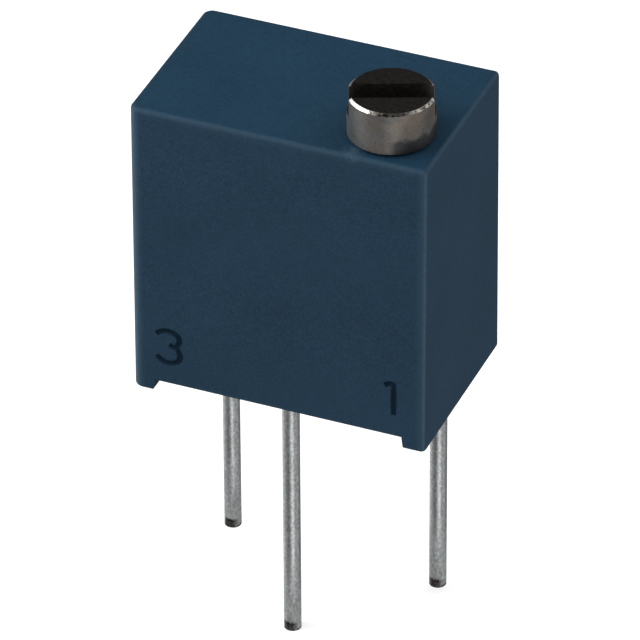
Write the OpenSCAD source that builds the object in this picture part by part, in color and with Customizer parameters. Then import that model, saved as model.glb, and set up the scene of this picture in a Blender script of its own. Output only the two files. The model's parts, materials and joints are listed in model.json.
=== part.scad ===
// Multi-turn trimmer potentiometer, top adjusted, three leads in a triangle.
// Millimetres. Z = 0 is the board face under the feet, X = Y = 0 is lead 2.

/* [Housing] */
// width from foot to foot
body_w = 7.0; // [6:0.1:8]
// depth at the board
body_d = 4.56; // [4:0.02:5]
// height above the board
body_h = 7.36; // [6:0.02:8]
// middle of the housing in Y
body_y = 1.5; // [1:0.02:2]
// lean of the front and back faces
draft = 0.65; // [0:0.05:2]
// radius along the top edges and the upright edges on the right
edge_r = 0.12; // [0.06:0.02:0.4]
// radius along the upright edges on the left
left_r = 0.24; // [0.12:0.02:0.4]
// radius round the outside of the feet
foot_r = 0.06; // [0.02:0.01:0.1]
// radius along the inside of the feet
tip_r = 0.07; // [0.02:0.01:0.1]
// height of the feet
foot_h = 0.3; // [0.1:0.05:0.6]
// width of a foot where it meets the board
foot_w = 0.52; // [0.3:0.01:0.6]
// inner half width of the case
in_x = 2.95; // [2.8:0.05:3.1]
// inner front and back faces of the case
in_y = [-0.26, 3.27];
// thickness of the roof
roof = 0.6; // [0.4:0.02:0.8]
// height of the boss under the roof that the screw turns in
boss_h = 0.4; // [0.2:0.02:0.6]

/* [Screw] */
// middle of the screw
screw_at = [2.23, 0.44];
// head radius
head_r = 0.97; // [0.8:0.01:1.1]
// top of the head above the housing
head_h = 1.10; // [0.8:0.02:1.4]
// round on the head's rim
head_c = 0.06; // [0.02:0.01:0.1]
// gap between the head and the housing
head_gap = 0.08; // [0.02:0.01:0.1]
// slot width
slot_w = 0.56; // [0.4:0.02:0.7]
// slot depth
slot_d = 0.50; // [0.3:0.02:0.7]
// turn of the slot
slot_turn = 22.5; // [0:0.5:90]
// radius that turns in the housing
journal_r = 0.58; // [0.5:0.01:0.6]
// play between the journal and its bore
play = 0.04; // [0.01:0.01:0.1]
// radius of the shank through the worm
shank_r = 0.24; // [0.2:0.01:0.25]
// bottom of the O-ring groove
groove_r = 0.34; // [0.3:0.01:0.4]
// radius of the O-ring's section
ring_r = 0.135; // [0.1:0.005:0.15]
// depth of the O-ring below the top of the housing
ring_down = 0.46; // [0.4:0.01:0.6]
// thickness of the clip that keeps the screw in
clip_t = 0.1; // [0.08:0.01:0.14]

/* [Gears] */
// teeth on the wheel
teeth = 16; // [12:1:24]
// gap between the wheel and the run of lead 2 under it
wheel_gap = 0.14; // [0.1:0.01:0.3]
// width of the wheel
wheel_w = 0.7; // [0.5:0.05:1]
// pitch radius of the worm
worm_r = 0.45; // [0.4:0.01:0.5]
// tooth height above the pitch line
tooth_up = 0.15; // [0.1:0.01:0.2]
// tooth depth below the pitch line
tooth_down = 0.19; // [0.1:0.01:0.25]
// width of a tooth on the pitch line
tooth_w = 0.30; // [0.25:0.01:0.34]
// radius of the drum behind the wheel
drum_r = 1.2; // [1:0.05:1.4]
// back of the drum
drum_y = 2.0; // [1.5:0.05:2.2]
// radius of the axle in the case
axle_r = 0.55; // [0.4:0.01:0.6]
// back end of the axle
axle_y = 1.5; // [1.2:0.05:1.6]
// half the length of the worm in threads
worm_turns = 2; // [1:0.5:2]

/* [Substrate] */
// gap from the lead's middle back to the ceramic plate
plate_gap = 0.25; // [0.2:0.01:0.3]
// thickness of the printed films
film_t = 0.05; // [0.02:0.01:0.08]
// inner and outer radius of the resistive track
track_r = [1.25, 1.75];
// half angle that the track spans
track_a = 140; // [130:1:150]
// inner and outer radius of the collector
pick_r = [0.5, 1.05];

/* [Leads] */
// spacing of the leads
pitch = 2.54; // [2.54:0.01:2.54]
// radius of a lead
lead_r = 0.20; // [0.18:0.01:0.25]
// side of a lead's squared stem, from the seal up
stem_w = 0.26; // [0.2:0.01:0.28]
// top of the round part above the board face
lead_up = 0.05; // [0:0.01:0.1]
// lengths below the board face of leads 1, 2 and 3
lead_l = [6.11, 6.28, 5.80];
// bottom of the seal
seal_z = 0.32; // [0.3:0.01:0.5]
// bottom and top of the lead carrier
base_z = [0.6, 1.0];
// radius of the bends in lead 2
bend_r = 0.35; // [0.3:0.01:0.5]

/* [Hidden] */
$fn = 48;
eps = 0.5;
case_c = [0.17, 0.25, 0.31];
metal_c = [0.62, 0.60, 0.57];
tin_c = [0.70, 0.70, 0.71];
front = body_y - body_d / 2;
back = body_y + body_d / 2;
lean = tan(draft);
in_z = body_h - roof;
boss_z = in_z - boss_h;
clip_z = boss_z - play - clip_t;
ring_z = body_h - ring_down;
wheel_r = screw_at[0] - worm_r;
axial = 2 * PI * wheel_r / teeth;
run_z = base_z[1] + bend_r;
wheel_z = run_z + stem_w / 2 + wheel_gap + wheel_r + tooth_up;
wheel_y = screw_at[1] - wheel_w / 2;
worm_half = worm_turns * axial;
post_z = wheel_z - worm_half - 0.3;
screw_z = base_z[1] + 0.42;
plate_y = [pitch + plate_gap, in_y[1] - 0.02];
film_y = plate_y[0] - film_t;
pad_z = base_z[1] + 0.4;
solder_z = [pad_z + 0.35, run_z + bend_r + 0.18, pad_z + 0.35];

module box(a, b) { translate(a) cube(b - a); }
module at_screw(z = 0) { translate([screw_at[0], screw_at[1], z]) children(); }
module along_y(y) { translate([0, y, wheel_z]) rotate([-90, 0, 0]) children(); }
module along_x(x, w) { translate([x, 0, wheel_z]) rotate([90, 0, 90]) linear_extrude(w) children(); }

// a thin disc in the rounding of an upright edge: s gives its sides, z its top, inset its step inwards
module disc(s, z, inset) {
    r = s[0] < 0 ? left_r : edge_r;
    translate([s[0] * (body_w / 2 - r), body_y + s[1] * (body_d / 2 - z * lean - r), z - 0.01])
        cylinder(r = max(r - inset, 0.01), h = 0.01, $fn = 32);
}

module shell() hull() for (s = [[-1, -1], [1, -1], [-1, 1], [1, 1]], a = [0:22.5:90]) {
    disc(s, body_h - edge_r * (1 - sin(a)), edge_r * (1 - cos(a)));
    disc(s, 0.01 + foot_r * (1 - cos(a)), foot_r * (1 - sin(a)));
}

// the outline of the open space under the case, with the inner edges of the feet rounded
module recess() {
    tip = body_w / 2 - foot_w;
    right = concat([for (a = [0:22.5:90]) [tip + tip_r * (1 - sin(a)), tip_r * (1 - cos(a))]], [[in_x, foot_h]]);
    polygon(concat([[tip + tip_r, -1]], right, [for (k = [len(right) - 1:-1:0]) [-right[k][0], right[k][1]]],
                   [[-tip - tip_r, -1]]));
}

module housing() color(case_c) difference() {
    union() {
        difference() {
            shell();
            box([-in_x, in_y[0], -1], [in_x, in_y[1], in_z]);
            translate([0, back + eps, 0]) rotate([90, 0, 0]) linear_extrude(body_d + 2 * eps) recess();
        }
        box([screw_at[0] - 0.93, in_y[0] - 0.1, boss_z], [in_x + 0.1, screw_at[1] + 0.96, in_z + 0.1]);
        for (s = [0, 1]) mirror([s, 0, 0])
            box([in_x - 0.22, plate_y[0] - 0.24, solder_z[0] + 0.55], [in_x + 0.1, plate_y[0], in_z + 0.1]);
        along_y(in_y[0] - 0.1) cylinder(r = 0.9, h = wheel_y - play - in_y[0] + 0.1);
        along_y(in_y[0] - 0.1) cylinder(r = axle_r, h = axle_y - in_y[0] + 0.1);
    }
    at_screw(boss_z - 1) cylinder(r = journal_r + play, h = body_h - boss_z + 2);
}

// a cut across the worm: turned as it rises, its one lobe makes the thread
module worm_outline() {
    at = function(r) (tooth_w / 2 - (r - worm_r) * tan(20)) / axial * 360;
    tip = worm_r + tooth_up;
    root = worm_r - tooth_down;
    pts = concat([for (k = [-3:3]) [k / 3 * at(tip), tip]], [[at(worm_r), worm_r]],
                 [for (k = [0:5]) [at(root) + (360 - 2 * at(root)) * k / 5, root]], [[-at(worm_r), worm_r]]);
    polygon([for (p = pts) p[1] * [cos(p[0]), sin(p[0])]]);
}

module adjustment_screw() color(metal_c) {
    top = body_h + head_h;
    low = body_h + head_gap;
    ring_h = ring_r + 0.015;
    difference() {
        at_screw() rotate_extrude() polygon([
            [0, screw_z], [shank_r, screw_z], [shank_r, clip_z - 0.16], [journal_r, clip_z - 0.16],
            [journal_r, clip_z], [groove_r, clip_z], [groove_r, boss_z], [journal_r, boss_z],
            [journal_r, ring_z - ring_h], [groove_r, ring_z - ring_h], [groove_r, ring_z + ring_h],
            [journal_r, ring_z + ring_h], [journal_r, low], [head_r, low], [head_r, top - head_c],
            [head_r - head_c, top], [0, top]]);
        at_screw(top - slot_d) rotate(slot_turn) translate([-2, -slot_w / 2, 0]) cube([4, slot_w, 2]);
    }
    at_screw(wheel_z - worm_half)
        linear_extrude(2 * worm_half, twist = -720 * worm_turns, slices = 72, segments = 15) worm_outline();
}

module screw_o_ring() color([0.06, 0.06, 0.06])
    at_screw(ring_z) rotate_extrude() translate([groove_r + ring_r, 0]) circle(ring_r);

module retaining_clip() color(metal_c) at_screw(clip_z) difference() {
    cylinder(r = journal_r + 0.1, h = clip_t);
    translate([0, 0, -1]) cylinder(r = groove_r + 0.005, h = 2);
    translate([-0.2, 0, -1]) cube([0.4, 2, 2]);
}

// one tooth as [angle, radius] pairs, an involute outside its base circle
module tooth_outline() {
    base = wheel_r * cos(20);
    inv = function(a) tan(a) * 180 / PI - a;
    at = function(r) tooth_w / 2 / wheel_r * 180 / PI + inv(20) - inv(acos(min(1, base / r)));
    rise = [wheel_r - tooth_down, base, wheel_r, wheel_r + tooth_up / 2, wheel_r + tooth_up];
    pts = [for (i = [0:teeth - 1]) each concat([for (r = rise) [360 * i / teeth - at(r), r]],
                                               [for (k = [4:-1:0]) [360 * i / teeth + at(rise[k]), rise[k]]])];
    polygon([for (p = pts) p[1] * [cos(p[0]), sin(p[0])]]);
}

module worm_wheel() color([0.84, 0.82, 0.76]) {
    sweep = axial / (2 * PI * worm_r) / wheel_r * wheel_w * 180 / PI;
    difference() {
        union() {
            along_y(wheel_y) rotate(-sweep / 2) linear_extrude(wheel_w, twist = -sweep, slices = 3) tooth_outline();
            along_y(screw_at[1]) cylinder(r = drum_r, h = drum_y - screw_at[1]);
        }
        along_y(wheel_y - 1) cylinder(r = axle_r + play, h = 1 + axle_y + 0.05 - wheel_y);
    }
    along_y(drum_y - 0.1) cylinder(r = 0.40, h = 0.25);
    along_y(drum_y + 0.1) cylinder(r = 0.47, h = 0.08);
    for (s = [-1, 1]) translate([s * 0.8, 0, 0]) along_y(drum_y - 0.1) cylinder(r = 0.11, h = 0.24);
}

module wiper() color([0.80, 0.68, 0.40]) {
    difference() {
        along_y(drum_y) cylinder(r = 1.02, h = 0.1);
        along_y(drum_y - 1) cylinder(r = 0.41, h = 2);
        for (s = [-1, 1]) translate([s * 0.8, 0, 0]) along_y(drum_y - 1) cylinder(r = 0.12, h = 2);
    }
    d = drum_y;
    tip = film_y - 0.08;
    for (x = [-0.28, 0.06]) along_x(x, 0.22) {
        polygon([[d, 0.9], [d + 0.1, 0.9], [d + 0.1, 1.0], [tip + 0.02, 1.44], [tip, 1.54], [tip - 0.06, 1.52],
                 [d, 1.07]]);
        translate([tip, (track_r[0] + track_r[1]) / 2]) circle(0.08);
    }
    for (x = [-0.23, 0.05]) along_x(x, 0.18) {
        polygon([[d, -0.85], [d, -1.12], [d + 0.16, -1.2], [d + 0.3, -1.12], [tip + 0.02, -0.82],
                 [tip - 0.04, -0.74], [d + 0.22, -1.04], [d + 0.14, -1.1], [d + 0.1, -1.06], [d + 0.1, -0.85]]);
        translate([tip, -(pick_r[0] + pick_r[1]) / 2]) circle(0.08);
    }
}

module substrate() color([0.93, 0.92, 0.88])
    box([0.05 - in_x, plate_y[0], base_z[1]], [in_x - 0.05, plate_y[1], in_z - 0.06]);

module film() { translate([0, plate_y[0], 0]) rotate([90, 0, 0]) linear_extrude(film_t) children(); }
module arc_band(r, a0, a1) translate([0, wheel_z]) intersection() {
    difference() { circle(r[1]); circle(r[0]); }
    polygon(concat([[0, 0]], [for (i = [0:8]) let (a = a0 + (a1 - a0) * i / 8) 4 * [sin(a), cos(a)]]));
}

module resistive_track() color([0.10, 0.10, 0.11]) film() arc_band(track_r, -track_a, track_a);

module collector_track() color([0.72, 0.70, 0.66]) film() difference() {
    union() {
        translate([0, wheel_z]) circle(pick_r[1]);
        translate([-0.2, pad_z + 0.6]) square([0.4, wheel_z - 0.7 - pad_z - 0.6]);
        translate([-0.32, pad_z + 0.05]) square([0.64, 0.8]);
    }
    translate([0, wheel_z]) circle(pick_r[0]);
}

module end_pad() film() {
    arc_band(track_r, track_a, track_a + 10);
    translate([0.65, pad_z]) square([0.45, wheel_z - 1.4 - pad_z]);
    translate([0.65, pad_z]) square([2.2, 0.35]);
    translate([2.2, pad_z]) square([0.65, 0.8]);
}
module end_pad_1() color([0.72, 0.70, 0.66]) end_pad();
module end_pad_3() color([0.72, 0.70, 0.66]) mirror([1, 0, 0]) end_pad();

// the squared part of a lead, upright from z0 to z1
module stem(z0, z1, w = stem_w) { translate([-w / 2, -w / 2, z0]) cube([w, w, z1 - z0]); }

module pin(l) { translate([0, 0, -l]) cylinder(r = lead_r, h = l + lead_up); }

module straight_lead(x, l) color(tin_c) translate([x, pitch, 0]) {
    pin(l);
    stem(0, solder_z[0] + 0.35);
}
module lead_1() straight_lead(pitch, lead_l[0]);
module lead_3() straight_lead(-pitch, lead_l[2]);

module elbow(turn) rotate([0, 0, 90]) rotate([90, 0, 0]) rotate(turn) rotate_extrude(angle = 90)
    translate([bend_r, 0]) square(stem_w, center = true);
module lead_2() color(tin_c) {
    pin(lead_l[1]);
    stem(0, base_z[1]);
    translate([0, bend_r, base_z[1]]) elbow(90);
    translate([0, bend_r, run_z]) rotate([-90, 0, 0]) stem(0, pitch - 2 * bend_r);
    translate([0, pitch - bend_r, run_z + bend_r]) elbow(-90);
    translate([0, pitch, 0]) stem(run_z + bend_r, solder_z[1] + 0.27);
}

module solder(x, z) color([0.75, 0.76, 0.78]) difference() {
    translate([x, film_y, z]) rotate([90, 0, 0]) cylinder(r1 = 0.31, r2 = 0.24, h = 0.36);
    translate([x, pitch, 0]) stem(z - 1, z + 1);
}
module solder_1() solder(pitch, solder_z[0]);
module solder_2() solder(0, solder_z[1]);
module solder_3() solder(-pitch, solder_z[2]);

module at_leads() { for (p = [[0, 0], [pitch, pitch], [-pitch, pitch]]) translate([p[0], p[1], 0]) children(); }

module base_plate() color([0.20, 0.20, 0.21]) {
    difference() {
        union() {
            box([0.03 - in_x, in_y[0] + 0.03, base_z[0]], [in_x - 0.03, in_y[1] - 0.03, base_z[1]]);
            at_screw(base_z[0]) cylinder(r = 0.6, h = post_z - base_z[0]);
            for (x = [-1.9, 0.7]) box([x, 2.5, base_z[0]], [x + 1.2, plate_y[0] - 0.01, base_z[1] + 0.25]);
        }
        at_leads() stem(0, 2, stem_w + 0.01);
        at_screw(screw_z - 0.02) cylinder(r = shank_r + play, h = 2);
    }
}

// the epoxy creeps a little way down each lead
module base_seal() color([0.35, 0.32, 0.27]) difference() {
    union() {
        box([-in_x, in_y[0], seal_z], [in_x, in_y[1], base_z[0]]);
        at_leads() translate([0, 0, lead_up]) cylinder(r1 = lead_r + 0.015, r2 = 0.25, h = seal_z);
    }
    at_leads() stem(-1, 2);
}

housing();
adjustment_screw();
screw_o_ring();
retaining_clip();
worm_wheel();
wiper();
substrate();
resistive_track();
collector_track();
end_pad_1();
end_pad_3();
lead_1();
lead_2();
lead_3();
solder_1();
solder_2();
solder_3();
base_plate();
base_seal();
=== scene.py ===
"""Multi-turn trimmer potentiometer: housing, finishes, floor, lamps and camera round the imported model."""
import json
import math

import bpy
from mathutils import Matrix, Vector


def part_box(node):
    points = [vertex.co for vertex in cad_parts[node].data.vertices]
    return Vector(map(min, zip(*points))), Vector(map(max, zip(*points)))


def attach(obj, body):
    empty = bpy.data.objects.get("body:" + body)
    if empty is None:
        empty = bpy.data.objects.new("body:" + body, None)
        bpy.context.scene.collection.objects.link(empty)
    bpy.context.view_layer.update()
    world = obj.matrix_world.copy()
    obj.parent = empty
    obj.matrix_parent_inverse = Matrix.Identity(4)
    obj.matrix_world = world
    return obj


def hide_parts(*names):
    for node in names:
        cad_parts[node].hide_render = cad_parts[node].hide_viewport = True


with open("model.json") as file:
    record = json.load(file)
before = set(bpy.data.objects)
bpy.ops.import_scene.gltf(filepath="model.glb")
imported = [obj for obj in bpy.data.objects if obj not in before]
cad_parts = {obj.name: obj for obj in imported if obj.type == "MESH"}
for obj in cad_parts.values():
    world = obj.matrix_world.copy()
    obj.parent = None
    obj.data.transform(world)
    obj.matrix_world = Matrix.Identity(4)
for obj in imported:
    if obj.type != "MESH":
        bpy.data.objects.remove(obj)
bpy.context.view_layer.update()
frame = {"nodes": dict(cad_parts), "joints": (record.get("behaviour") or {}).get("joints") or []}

MM = 0.001


def box_mm(name):
    """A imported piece's lowest and highest corners, in mm."""
    low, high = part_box(name)
    return low / MM, high / MM


# places that the finishes follow, in mm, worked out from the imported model
housing_high = box_mm("housing")[1]
screw_low, screw_high = box_mm("adjustment_screw")
screw_joint = next(joint for joint in frame["joints"] if joint["name"] == "screw_turn")
HALF_WIDTH = housing_high.x
TOP_Z = housing_high.z
SCREW_AT = [place / MM for place in screw_joint["pos_m"][:2]]
HEAD_R = (screw_high.x - screw_low.x) / 2
HEAD_TOP = screw_high.z
SLOT_DEPTH = 0.50
SLOT_FLOOR = HEAD_TOP - SLOT_DEPTH
LEAD_ENDS = {lead: box_mm(lead)[0].z for lead in ("lead_1", "lead_2", "lead_3")}

# the front face, in mm: its place at the board, and how far it leans back per mm of height
FACE_Y = -0.78
LEAN = math.tan(math.radians(0.65))

# the middle of the pale mark on the top, in mm
SCUFF_AT = (1.74, -0.52, TOP_Z)

# centre lines of the debossed pin numbers, in mm across and up the front face
THREE_TOP = [(-2.90, 1.55), (-2.82, 1.625), (-2.68, 1.68), (-2.52, 1.675), (-2.39, 1.615), (-2.33, 1.52),
             (-2.35, 1.40), (-2.42, 1.30)]
THREE_BAR = [(-2.59, 1.325), (-2.50, 1.29), (-2.40, 1.25)]
THREE_LOW = [(-2.41, 1.27), (-2.34, 1.155), (-2.32, 1.045), (-2.36, 0.93), (-2.47, 0.85), (-2.61, 0.82),
             (-2.74, 0.85), (-2.83, 0.915), (-2.90, 0.985)]
ONE_FLAG = [(2.55, 1.585), (2.60, 1.615), (2.68, 1.655), (2.765, 1.645), (2.80, 1.63)]
ONE_STEM = [(2.765, 1.65), (2.765, 1.40), (2.765, 1.12), (2.765, 0.84)]

# the round bar that sinks a stroke: its radius, how far its middle is in front of the face, and its ends
GROOVE_R = 0.086
GROOVE_OUT = 0.030
GROOVE_END = 0.85

# cleaning up the housing's copy: a gap in mm, and angles in degrees
MERGE_GAP = 0.0005
FLAT_ANGLE = 0.4
SMOOTH_ANGLE = 28

# the housing's plastic, its pale abraded places and painted highlights, the painted shade on its top, and
# the strokes of the pin numbers with painted shade deeper in them
BLUE_DARK = (0.0108, 0.0280, 0.0490)
BLUE_PALE = (0.0198, 0.0478, 0.0820)
BLUE_ABRADED_AND_HIGHLIT = (0.04736, 0.0876, 0.1233)
HOUSING_TOP_PAINTED_SHADE = (0.74, 0.95, 0.98)
STROKE_LIP = (0.0135, 0.0350, 0.0610)
STROKE_PAINTED_SHADE = (0.0042, 0.0150, 0.0270)

# the screw's nickel, its stains and pits, its painted highlights on the left of the side and of the rim, the
# painted dark reflection low on its side, the dark burred spots of its rim, and the painted dark reflection
# on its top with painted shade in its slot
NICKEL_DULL = (0.140, 0.140, 0.140)
NICKEL_CLEAN = (0.30, 0.290, 0.275)
NICKEL_PAINTED_HIGHLIGHT = (0.400, 0.395, 0.385)
BROWN_FILM = (0.21, 0.165, 0.12)
WARM_BLOOM = (0.27, 0.215, 0.165)
TAN_STAIN = (0.33, 0.265, 0.20)
PAINTED_DARK_REFLECTION = (0.050, 0.052, 0.056)
PIT = (0.022, 0.018, 0.015)
BURR_DULL = (0.40, 0.375, 0.33)
RIM_PAINTED_HIGHLIGHT = (0.86, 0.85, 0.82)
BURR_SPOT = (0.05, 0.045, 0.04)
SCREW_TOP_PAINTED_DARK = (0.060, 0.054, 0.052)
SCREW_TOP_PAINTED_PALE = (0.118, 0.105, 0.096)

# the leads' tin, and where the cutter sheared them
TIN_DULL = (0.415, 0.437, 0.442)
TIN_BRIGHT = (0.790, 0.811, 0.816)
TIN_BLOT = (0.40, 0.395, 0.385)
SHEARED_DARK = (0.06, 0.055, 0.050)
SHEARED_PALE = (0.20, 0.19, 0.18)
SHEARED_LIP = (0.045, 0.042, 0.040)

# the room that the metal mirrors: how bright it is low down, by degrees from -Y towards +X, and high up
ROOM_LOW = [(-180, 0.22), (-140, 0.60), (-112, 0.85), (-80, 0.50), (-55, 0.34), (-30, 0.20), (-10, 0.19),
            (12, 0.50), (27, 1.0), (43, 1.0), (56, 0.56), (68, 0.36), (95, 0.48), (112, 0.38), (130, 0.22),
            (180, 0.22)]
ROOM_HIGH = 0.05

# how strongly the white sky lights the part
WHITE = (1, 1, 1)
SKY = 0.74

# the paper floor: its shade, how it glows where it is seen, its width, and its gap below the leads, in mm
PAPER = (0.55, 0.55, 0.55, 1.0)
PAPER_GLOW = 0.55
FLOOR_SIZE = 800
FLOOR_GAP = 0.002

# the point that the lamps face, and the camera as solved from the photograph, in mm, degrees and pixels
LAMP_AIM = Vector((0.5, 1.2, 4.0))
CAMERA_AIM = Vector((0.714, 0.0, 2.358))
CAMERA_FAR = 153.0
CAMERA_AZ, CAMERA_EL, CAMERA_ROLL = 22.5, 34.652, 0.349
FOCAL_PX, PICTURE_PX = 6951.6, 640.0

# the camera's sensor, in mm, and the nearest and furthest that it sees, in metres
SENSOR = 36.0
CLIP_NEAR, CLIP_FAR = 0.01, 5.0


# helpers for nodes, whose owner is a material or the world

def feed(owner, value, socket):
    """Links another node's output to the socket, or sets the socket to a plain value."""
    if isinstance(value, bpy.types.NodeSocket):
        owner.node_tree.links.new(value, socket)
    else:
        socket.default_value = value


def node(owner, kind, inputs=None, **settings):
    made = owner.node_tree.nodes.new("ShaderNode" + kind)
    for key, value in settings.items():
        setattr(made, key, value)
    for key, value in (inputs or {}).items():
        feed(owner, value, made.inputs[key])
    return made


def span(owner, value, start, end, first=0.0, last=1.0):
    """Goes from first to last while the value goes from start to end, and no further."""
    made = node(owner, "MapRange", {"Value": value, "From Min": start, "From Max": end, "To Min": first,
                                    "To Max": last})
    return made.outputs["Result"]


def fade(owner, length, start_mm, end_mm, first=0.0, last=1.0):
    """The same for a length, with start and end in mm."""
    return span(owner, length, start_mm * MM, end_mm * MM, first, last)


def maths(owner, what, first, *others):
    """The first value, worked on with each of the others in turn; some sums need no other."""
    for other in others or (0.0,):
        first = node(owner, "Math", {0: first, 1: other}, operation=what).outputs["Value"]
    return first


def times(owner, *values):
    return maths(owner, "MULTIPLY", *values)


def plus(owner, *values):
    return maths(owner, "ADD", *values)


def minus(owner, *values):
    return maths(owner, "SUBTRACT", *values)


def larger(owner, *values):
    return maths(owner, "MAXIMUM", *values)


def blend_colours(owner, share, first, second, how="MIX"):
    """Share 0 gives the first colour and 1 the second; a colour is three numbers or a node's output."""
    made = node(owner, "Mix", data_type="RGBA", blend_type=how)
    feed(owner, share, next(s for s in made.inputs if s.name == "Factor" and s.type == "VALUE"))
    for key, colour in (("A", first), ("B", second)):
        opaque = colour if isinstance(colour, bpy.types.NodeSocket) else (*colour, 1.0)
        feed(owner, opaque, next(s for s in made.inputs if s.name == key and s.type == "RGBA"))
    return next(s for s in made.outputs if s.type == "RGBA")


# helpers for materials

def new_material(name, **sockets):
    mat = bpy.data.materials.new(name)
    mat.use_nodes = True
    shader = mat.node_tree.nodes["Principled BSDF"]
    for key, value in sockets.items():
        shader.inputs[key.replace("_", " ")].default_value = value
    return mat, shader


def on_piece(mat, stretch=(1, 1, 1)):
    """Where a point is on the piece, for a pattern that may be drawn out along an axis."""
    place = node(mat, "TexCoord").outputs["Object"]
    return node(mat, "Mapping", {"Vector": place, "Scale": stretch}).outputs["Vector"]


def along(mat, letter):
    """Where a point is along one axis, in metres."""
    return node(mat, "SeparateXYZ", {"Vector": node(mat, "TexCoord").outputs["Object"]}).outputs[letter]


def facing(mat):
    """Which way a surface faces, as X, Y and Z from -1 to 1."""
    return node(mat, "SeparateXYZ", {"Vector": node(mat, "TexCoord").outputs["Normal"]}).outputs


def noise(mat, where, per_mm, detail=3.0, rough=0.5, twist=0.0):
    made = node(mat, "TexNoise", {"Vector": where, "Scale": per_mm / MM, "Detail": detail,
                                  "Roughness": rough, "Distortion": twist})
    return made.outputs["Fac"]


def ragged(mat, length, blots, by_mm, start=0.3, end=0.7):
    """Shifts a length either way by noise, so that what fades along it has a rough edge."""
    return plus(mat, length, span(mat, blots, start, end, -by_mm * MM, by_mm * MM))


def coat(mat, shader, colour, roughness, relief, strength, depth_mm):
    """Gives the shader its colour and roughness, and bumps from the relief."""
    feed(mat, colour, shader.inputs["Base Color"])
    feed(mat, roughness, shader.inputs["Roughness"])
    bumps = node(mat, "Bump", {"Height": relief, "Strength": strength, "Distance": depth_mm * MM})
    feed(mat, bumps.outputs["Normal"], shader.inputs["Normal"])
    return mat


def dress(name, mat):
    """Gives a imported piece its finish."""
    for slot in frame["nodes"][name].material_slots:
        slot.material = mat


# plastics

def moulded_plastic(name, dark, pale, grain, rough, specular=0.3, abrasion_and_light=None):
    """Clouds, specks and a grain of so many spots per mm, between two shades, with any abrasion and painted
    light over them.
    """
    mat, shader = new_material(name, Specular_IOR_Level=specular)
    where = on_piece(mat)
    cloud = noise(mat, where, 0.5, detail=4.0)
    speck = noise(mat, where, 9.0, detail=2.0)
    fine = noise(mat, where, grain, rough=0.6)
    mottle = plus(mat, span(mat, cloud, 0.3, 0.7, last=0.22), span(mat, speck, 0.3, 0.7, last=0.2),
                  span(mat, fine, 0.35, 0.65, last=0.58))
    colour = blend_colours(mat, mottle, dark, pale)
    if abrasion_and_light:
        colour = abrasion_and_light(mat, colour, where, speck)
    roughness = span(mat, speck, 0.3, 0.7, rough - 0.05, rough + 0.07)
    return coat(mat, shader, colour, roughness, relief=fine, strength=0.35, depth_mm=0.0012)


def abraded_and_highlit_edges(mat, where, turned):
    """The rounded edges, paler partly from abrasion and partly from a painted highlight, uneven along their
    length, and fainter where they turn up or back.
    """
    # paler edges: partly abrasion, partly a painted highlight where the rounding would catch the light
    squarely = larger(mat, *(maths(mat, "ABSOLUTE", turned[letter]) for letter in "XYZ"))
    rounded = span(mat, squarely, 0.998, 0.76, last=0.7)
    in_front = span(mat, turned["Y"], -0.1, -0.6, first=0.85)
    upwards = span(mat, turned["Z"], 0.25, 0.6, first=1.0, last=0.32)
    uneven = span(mat, noise(mat, where, 6.0), 0.35, 0.65, 0.82, 1.18)
    return times(mat, rounded, in_front, upwards, uneven)


def painted_highlight_bands(mat, turned):
    """Painted highlights in strips of the front face beside its left, right and top edges."""
    # painted highlight: the front face is made paler near its left, right and top edges
    x, z = along(mat, "X"), along(mat, "Z")
    left = fade(mat, x, 0.32 - HALF_WIDTH, 0.10 - HALF_WIDTH, last=0.44)
    right = fade(mat, x, HALF_WIDTH - 0.25, HALF_WIDTH - 0.10, last=0.22)
    upper = fade(mat, z, TOP_Z - 0.26, TOP_Z - 0.12, last=0.12)
    return times(mat, larger(mat, left, right, upper), span(mat, turned["Y"], -0.5, -0.9))


def pale_scuff(mat, speck):
    """A ragged mark on the top beside the screw."""
    place = node(mat, "TexCoord").outputs["Object"]
    apart = node(mat, "VectorMath", {0: place, 1: [c * MM for c in SCUFF_AT]}, operation="DISTANCE")
    return fade(mat, ragged(mat, apart.outputs["Value"], speck, by_mm=0.08), 0.28, 0.04, last=0.52)


def housing_abrasion_and_light(mat, plastic, where, speck):
    """Painted shade that makes the top darker and bluer, and paler where the housing is abraded, with
    painted highlights on and beside its edges.
    """
    turned = facing(mat)
    # painted shade: faces that look up are darkened and made bluer
    plastic = blend_colours(mat, span(mat, turned["Z"], 0.6, 0.95), plastic, HOUSING_TOP_PAINTED_SHADE, "MULTIPLY")
    # abrasion along the edges and at the scuff, with painted highlights on and beside the edges
    abraded_and_highlit = plus(mat, abraded_and_highlit_edges(mat, where, turned), painted_highlight_bands(mat, turned), pale_scuff(mat, speck))
    return blend_colours(mat, abraded_and_highlit, plastic, BLUE_ABRADED_AND_HIGHLIT)


def stroke_plastic():
    """The housing's own plastic at the lip of a stroke, with painted shade that darkens it the deeper the
    stroke goes.
    """
    mat, shader = new_material("groove_plastic", Specular_IOR_Level=0.05, Roughness=0.6)
    face = plus(mat, times(mat, along(mat, "Z"), LEAN), FACE_Y * MM)
    depth = minus(mat, along(mat, "Y"), face)
    # painted shade: the stroke is darker the further it lies below the face
    feed(mat, blend_colours(mat, fade(mat, depth, 0.004, 0.036), STROKE_LIP, STROKE_PAINTED_SHADE),
         shader.inputs["Base Color"])
    return mat


# metals

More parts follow.
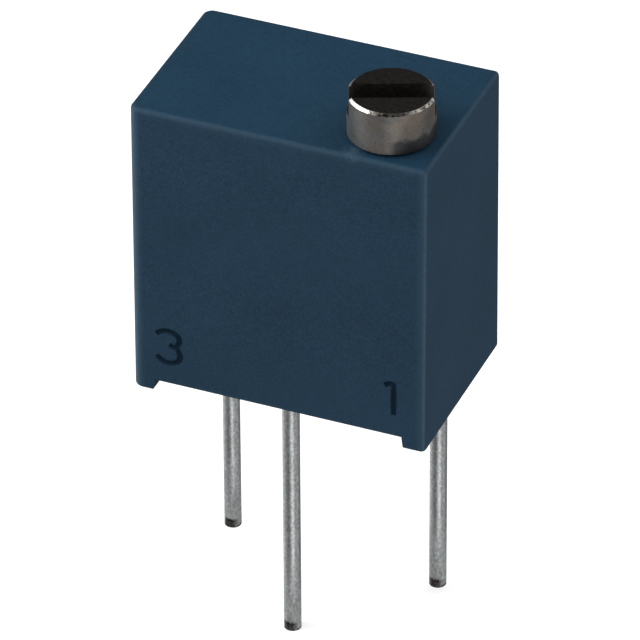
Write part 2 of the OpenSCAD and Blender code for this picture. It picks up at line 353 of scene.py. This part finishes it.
def plain_metal(name, dark, light, rough, per_mm=6.0):
    """Stains between two shades, and a fine grain; per_mm is the stains' own scale."""
    mat, shader = new_material(name, Metallic=1.0)
    where = on_piece(mat)
    stain = noise(mat, where, per_mm, detail=5.0, rough=0.6, twist=0.4)
    fine = noise(mat, where, per_mm * 5, rough=0.6)
    colour = blend_colours(mat, span(mat, stain, 0.35, 0.65), dark, light)
    roughness = span(mat, fine, 0.3, 0.7, rough - 0.06, rough + 0.12)
    return coat(mat, shader, colour, roughness, relief=fine, strength=0.3, depth_mm=0.006)


def from_screw_axis(mat):
    """Distance from the screw's axis, in metres."""
    squares = [maths(mat, "POWER", minus(mat, along(mat, letter), middle * MM), 2.0)
               for letter, middle in zip("XY", SCREW_AT)]
    return maths(mat, "SQRT", plus(mat, *squares))


def screw_side(mat, where, x, z, stain, fine):
    """Dull nickel under brown film and stains, and pitted, with a painted highlight on the left and a
    painted dark reflection low on the right.
    """
    middle = SCREW_AT[0]
    side = blend_colours(mat, span(mat, stain, 0.36, 0.66), NICKEL_DULL, NICKEL_CLEAN)
    side = blend_colours(mat, span(mat, fine, 0.48, 0.72, last=0.55), side, BROWN_FILM)
    side = blend_colours(mat, span(mat, noise(mat, where, 0.9), 0.50, 0.66, last=0.6), side, WARM_BLOOM)

    # painted highlight: the left side of the screw is made paler
    left_highlight = times(mat, fade(mat, x, middle + 0.19, middle - 0.33), span(mat, fine, 0.3, 0.7, 0.9, 0.55))
    side = blend_colours(mat, left_highlight, side, NICKEL_PAINTED_HIGHLIGHT)

    tan = times(mat, span(mat, noise(mat, where, 2.4), 0.50, 0.62),
                span(mat, noise(mat, where, 16.0, detail=2.0), 0.3, 0.7, 0.3, 0.9), 0.45)
    side = blend_colours(mat, tan, side, TAN_STAIN)

    # painted dark reflection of the housing top and its shade, low on the right of the head
    low = fade(mat, ragged(mat, z, stain, by_mm=0.10), TOP_Z + 0.46, TOP_Z + 0.34)
    on_right = fade(mat, x, middle + 0.29, middle + 0.45)
    side = blend_colours(mat, times(mat, low, on_right, 0.85), side, PAINTED_DARK_REFLECTION)
    return blend_colours(mat, span(mat, noise(mat, where, 24.0, detail=2.0), 0.66, 0.74), side, PIT)


def rim_highlight_and_burrs(mat, x, fine):
    """A painted highlight on the left of the rounded rim, and duller with more dark burred spots on the
    right.
    """
    middle = SCREW_AT[0]
    # painted highlight: the rim is made paler towards its left
    rim_lit_left = blend_colours(mat, fade(mat, x, middle - 0.03, middle - 0.33), BURR_DULL, RIM_PAINTED_HIGHLIGHT)
    spots = plus(mat, fine, fade(mat, x, middle - 0.35, middle - 0.11, -0.12, 0.03))
    return blend_colours(mat, span(mat, spots, 0.48, 0.60), rim_lit_left, BURR_SPOT)


def screw_plating():
    """Dull nickel on the side, painted dark on top as a dark reflection and in the slot as shade, and paler
    with a painted highlight where the rim is rounded.
    """
    mat, shader = new_material("screw_nickel", Metallic=1.0)
    where = on_piece(mat)
    stain = noise(mat, where, 1.6, detail=5.0, rough=0.62, twist=0.6)
    fine = noise(mat, where, 11.0, detail=4.0, rough=0.6)
    x, z = along(mat, "X"), along(mat, "Z")
    out = from_screw_axis(mat)

    rim = times(mat, fade(mat, out, HEAD_R - 0.058, HEAD_R - 0.045),
                fade(mat, z, HEAD_TOP - 0.065, HEAD_TOP - 0.055))
    colour = blend_colours(mat, rim, screw_side(mat, where, x, z, stain, fine), rim_highlight_and_burrs(mat, x, fine))

    top = fade(mat, out, HEAD_R - 0.056, HEAD_R - 0.062)
    in_slot = times(mat, fade(mat, out, HEAD_R - 0.004, HEAD_R - 0.010),
                    fade(mat, z, HEAD_TOP - 0.06, HEAD_TOP - 0.07))
    # painted dark reflection on the top face and painted shade in the slot
    painted_dark_top_and_slot = times(mat, larger(mat, top, in_slot), fade(mat, z, SLOT_FLOOR - 0.020, SLOT_FLOOR - 0.005))
    painted_dark_shades = blend_colours(mat, span(mat, fine, 0.35, 0.7), SCREW_TOP_PAINTED_DARK, SCREW_TOP_PAINTED_PALE)
    colour = blend_colours(mat, painted_dark_top_and_slot, colour, painted_dark_shades)
    roughness = minus(mat, 0.48, times(mat, rim, 0.18), times(mat, top, 0.04))
    return coat(mat, shader, colour, roughness, relief=fine, strength=0.35, depth_mm=0.006)


def lead_tin(name, end_z):
    """Tinned wire: fine mottling, duller towards the tip, dark where the cutter sheared it."""
    mat, shader = new_material(name, Metallic=1.0)
    grain = noise(mat, on_piece(mat, stretch=(1, 1, 0.6)), 17.0, detail=4.0, rough=0.7)
    blot = noise(mat, on_piece(mat, stretch=(1, 1, 0.3)), 3.2, detail=4.0, rough=0.6, twist=0.3)
    tin = blend_colours(mat, span(mat, grain, 0.34, 0.66), TIN_DULL, TIN_BRIGHT)
    tin = blend_colours(mat, span(mat, blot, 0.46, 0.70, last=0.5), tin, TIN_BLOT)

    up = minus(mat, along(mat, "Z"), end_z * MM)
    edge = ragged(mat, up, grain, by_mm=0.05, start=0.2, end=0.8)
    nick = times(mat, fade(mat, edge, 0.27, 0.21), span(mat, facing(mat)["Y"], -0.50, -0.90))
    tip = larger(mat, nick, fade(mat, edge, 0.07, 0.03, last=0.8))
    sheared = blend_colours(mat, span(mat, grain, 0.40, 0.62), SHEARED_DARK, SHEARED_PALE)
    sheared = blend_colours(mat, fade(mat, edge, 0.13, 0.20), sheared, SHEARED_LIP)
    colour = blend_colours(mat, tip, tin, sheared)
    roughness = fade(mat, up, 0.8, 2.2, 0.70, 0.24)
    return coat(mat, shader, colour, roughness, relief=grain, strength=0.6, depth_mm=0.006)


# the housing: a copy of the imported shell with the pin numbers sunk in

def select_only(piece):
    bpy.ops.object.select_all(action="DESELECT")
    piece.select_set(True)
    bpy.context.view_layer.objects.active = piece


def apply_modifier(piece, kind, **settings):
    select_only(piece)
    made = piece.modifiers.new(kind.lower(), kind)
    for key, value in settings.items():
        setattr(made, key, value)
    bpy.ops.object.modifier_apply(modifier=made.name)


def resize(piece, factor):
    select_only(piece)
    piece.scale = (factor, factor, factor)
    bpy.ops.object.transform_apply(location=False, rotation=False, scale=True)


def stroke_cutter(name, line, mat):
    """A round bar along a stroke, thinner at both ends, about a third of it sunk in the front face."""
    data = bpy.data.curves.new(name, "CURVE")
    data.dimensions = "3D"
    data.bevel_depth = GROOVE_R
    data.bevel_resolution = 5
    data.resolution_u = 5
    data.use_fill_caps = True
    spline = data.splines.new("NURBS")
    spline.points.add(len(line) - 1)
    for point, (x, z) in zip(spline.points, line):
        point.co = (x, FACE_Y + LEAN * z - GROOVE_OUT, z, 1.0)
        point.radius = GROOVE_END if (x, z) in (line[0], line[-1]) else 1.0
    spline.order_u = 4
    spline.use_endpoint_u = True
    bar = bpy.data.objects.new(name, data)
    bpy.context.scene.collection.objects.link(bar)
    select_only(bar)
    bpy.ops.object.convert(target="MESH")
    bar.data.materials.append(mat)
    return bar


def make_housing(plastic, stroke):
    """Worked on in millimetres, where Blender's cuts are sound, then brought back to metres."""
    source = frame["nodes"]["housing"]
    shell = source.copy()
    shell.data = source.data.copy()
    shell.name = "moulded_housing"
    shell.data.name = "moulded_housing"
    bpy.context.scene.collection.objects.link(shell)
    shell.data.materials.clear()
    for mat in (plastic, stroke):
        shell.data.materials.append(mat)

    resize(shell, 1 / MM)
    bpy.ops.object.mode_set(mode="EDIT")
    bpy.ops.mesh.select_all(action="SELECT")
    bpy.ops.mesh.remove_doubles(threshold=MERGE_GAP)
    bpy.ops.mesh.dissolve_limited(angle_limit=math.radians(FLAT_ANGLE))
    bpy.ops.object.mode_set(mode="OBJECT")
    for name, line in (("three_top", THREE_TOP), ("three_bar", THREE_BAR), ("three_low", THREE_LOW),
                       ("one_flag", ONE_FLAG), ("one_stem", ONE_STEM)):
        bar = stroke_cutter(name, line, stroke)
        apply_modifier(shell, "BOOLEAN", operation="DIFFERENCE", object=bar, solver="EXACT")
        bpy.data.objects.remove(bar)
    resize(shell, MM)

    bpy.ops.object.shade_smooth_by_angle(angle=math.radians(SMOOTH_ANGLE))
    apply_modifier(shell, "WEIGHTED_NORMAL", keep_sharp=True, weight=90)
    return shell


housing_plastic = moulded_plastic("housing_plastic", BLUE_DARK, BLUE_PALE, grain=26.0, rough=0.5,
                                  specular=0.07, abrasion_and_light=housing_abrasion_and_light)
housing = make_housing(housing_plastic, stroke_plastic())
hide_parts("housing")
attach(housing, "case")


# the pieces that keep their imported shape

dress("adjustment_screw", screw_plating())
for lead, lead_end in LEAD_ENDS.items():
    dress(lead, lead_tin("tin_" + lead, lead_end))

ring_rubber = moulded_plastic("ring_rubber", dark=(0.012, 0.012, 0.012), pale=(0.022, 0.022, 0.022),
                              grain=18.0, rough=0.42)
clip_steel = plain_metal("clip_steel", dark=(0.30, 0.30, 0.31), light=(0.50, 0.50, 0.51), rough=0.28)
rotor_plastic = moulded_plastic("rotor_plastic", dark=(0.58, 0.54, 0.44), pale=(0.66, 0.62, 0.53),
                                grain=14.0, rough=0.42)
wiper_alloy = plain_metal("wiper_alloy", dark=(0.50, 0.34, 0.12), light=(0.72, 0.54, 0.24), rough=0.24)
alumina = moulded_plastic("alumina", dark=(0.74, 0.71, 0.64), pale=(0.82, 0.80, 0.74),
                          grain=40.0, rough=0.62)
cermet_film = moulded_plastic("cermet_film", dark=(0.014, 0.014, 0.016), pale=(0.032, 0.032, 0.034),
                              grain=50.0, rough=0.5)
silver_film = plain_metal("silver_film", dark=(0.40, 0.38, 0.33), light=(0.60, 0.58, 0.53), rough=0.40,
                          per_mm=12.0)
joint_solder = plain_metal("joint_solder", dark=(0.42, 0.43, 0.45), light=(0.68, 0.69, 0.71), rough=0.22,
                           per_mm=4.0)
carrier_plastic = moulded_plastic("carrier_plastic", dark=(0.020, 0.021, 0.023), pale=(0.034, 0.035, 0.037),
                                  grain=24.0, rough=0.5)
cast_epoxy = moulded_plastic("cast_epoxy", dark=(0.050, 0.043, 0.033), pale=(0.085, 0.072, 0.054),
                             grain=5.0, rough=0.28)

dress("screw_o_ring", ring_rubber)
dress("retaining_clip", clip_steel)
dress("worm_wheel", rotor_plastic)
dress("wiper", wiper_alloy)
dress("substrate", alumina)
dress("resistive_track", cermet_film)
for film in ("collector_track", "end_pad_1", "end_pad_3"):
    dress(film, silver_film)
for joint in ("solder_1", "solder_2", "solder_3"):
    dress(joint, joint_solder)
dress("base_plate", carrier_plastic)
dress("base_seal", cast_epoxy)


# floor, world, lamps and camera

def seen_share(owner):
    """1 for what the camera sees, straight or by way of metal or glass, and 0 for light on the part."""
    rays = node(owner, "LightPath").outputs
    return larger(owner, rays["Is Camera Ray"], rays["Is Glossy Ray"], rays["Is Transmission Ray"])


def make_floor():
    """White paper just under the longest lead, left out of what the metal mirrors."""
    lowest = min(LEAD_ENDS.values())
    bpy.ops.mesh.primitive_grid_add(x_subdivisions=4, y_subdivisions=4, size=FLOOR_SIZE * MM,
                                    location=(0, 0, (lowest - FLOOR_GAP) * MM))
    floor = bpy.context.object
    floor.name = "floor"
    mat = bpy.data.materials.new("floor_paper")
    mat.use_nodes = True
    mat.node_tree.nodes.clear()
    paper = node(mat, "BsdfDiffuse", {"Color": PAPER})
    glow = node(mat, "Emission", {"Color": (*WHITE, 1), "Strength": times(mat, seen_share(mat), PAPER_GLOW)})
    both = node(mat, "AddShader", {0: paper.outputs[0], 1: glow.outputs[0]})
    node(mat, "OutputMaterial", {"Surface": both.outputs[0]})
    floor.data.materials.append(mat)
    floor.visible_glossy = False


def room_seen_in_metal(world):
    """White low down in front, with darker cards beside it, and dark above."""
    way = node(world, "SeparateXYZ", {"Vector": node(world, "TexCoord").outputs["Generated"]}).outputs
    turn = maths(world, "ARCTAN2", way["X"], times(world, way["Y"], -1.0))
    ramp = node(world, "ValToRGB", {"Fac": span(world, turn, -math.pi, math.pi)})
    stops = ramp.color_ramp.elements
    while len(stops) < len(ROOM_LOW):
        stops.new(0.5)
    for stop, (degrees, level) in zip(stops, ROOM_LOW):
        stop.position = degrees / 360 + 0.5
        stop.color = (level, level, level, 1.0)
    return blend_colours(world, span(world, way["Z"], -0.10, 0.12), ramp.outputs["Color"], (ROOM_HIGH,) * 3)


def make_world():
    """White behind the part and softer on it, with a room for the metal to mirror."""
    world = bpy.data.worlds.new("studio")
    bpy.context.scene.world = world
    world.use_nodes = True
    world.node_tree.nodes.clear()
    mirrored = node(world, "LightPath").outputs["Is Glossy Ray"]
    colour = blend_colours(world, mirrored, WHITE, room_seen_in_metal(world))
    strength = span(world, seen_share(world), 0.0, 1.0, first=SKY)
    back = node(world, "Background", {"Color": colour, "Strength": strength})
    node(world, "OutputWorld", {"Surface": back.outputs[0]})


def soft_lamp(name, way, far_mm, size_mm, watts):
    """A rectangular lamp that stands the given way from the part and faces it."""
    data = bpy.data.lights.new(name, "AREA")
    data.shape = "RECTANGLE"
    data.size, data.size_y = size_mm[0] * MM, size_mm[1] * MM
    data.energy = watts
    lamp = bpy.data.objects.new(name, data)
    bpy.context.scene.collection.objects.link(lamp)
    way = Vector(way).normalized()
    turn = way.to_track_quat("Z", "Y").to_matrix()
    lamp.matrix_world = Matrix.Translation((LAMP_AIM + way * far_mm) * MM) @ turn.to_4x4()


def make_camera():
    """Looks at its aim from the given azimuth and elevation, rolled a little about its own axis."""
    az, el, roll = (math.radians(a) for a in (CAMERA_AZ, CAMERA_EL, CAMERA_ROLL))
    back = Vector((math.sin(az) * math.cos(el), -math.cos(az) * math.cos(el), math.sin(el)))
    right = (-back).cross(Vector((0, 0, 1))).normalized()
    down = (-back).cross(right)
    across = math.cos(roll) * right + math.sin(roll) * down
    below = -math.sin(roll) * right + math.cos(roll) * down
    data = bpy.data.cameras.new("photo_camera")
    data.sensor_width = SENSOR
    data.lens = FOCAL_PX * SENSOR / PICTURE_PX
    data.clip_start = CLIP_NEAR
    data.clip_end = CLIP_FAR
    camera = bpy.data.objects.new("photo_camera", data)
    bpy.context.scene.collection.objects.link(camera)
    turn = Matrix((across, -below, back)).transposed()
    camera.matrix_world = Matrix.Translation((CAMERA_AIM + CAMERA_FAR * back) * MM) @ turn.to_4x4()
    bpy.context.scene.camera = camera


make_floor()
make_world()
soft_lamp("left_softbox", way=(-0.80, -0.30, 0.55), far_mm=90, size_mm=(70, 70), watts=0.058)
soft_lamp("right_softbox", way=(0.78, 0.45, 0.50), far_mm=90, size_mm=(105, 105), watts=0.040)
soft_lamp("top_softbox", way=(-0.45, -0.20, 0.87), far_mm=90, size_mm=(60, 60), watts=0.012)
soft_lamp("front_softbox", way=(0.30, -0.92, 0.16), far_mm=110, size_mm=(16, 50), watts=0.012)
make_camera()
bpy.context.scene.view_settings.view_transform = "Standard"
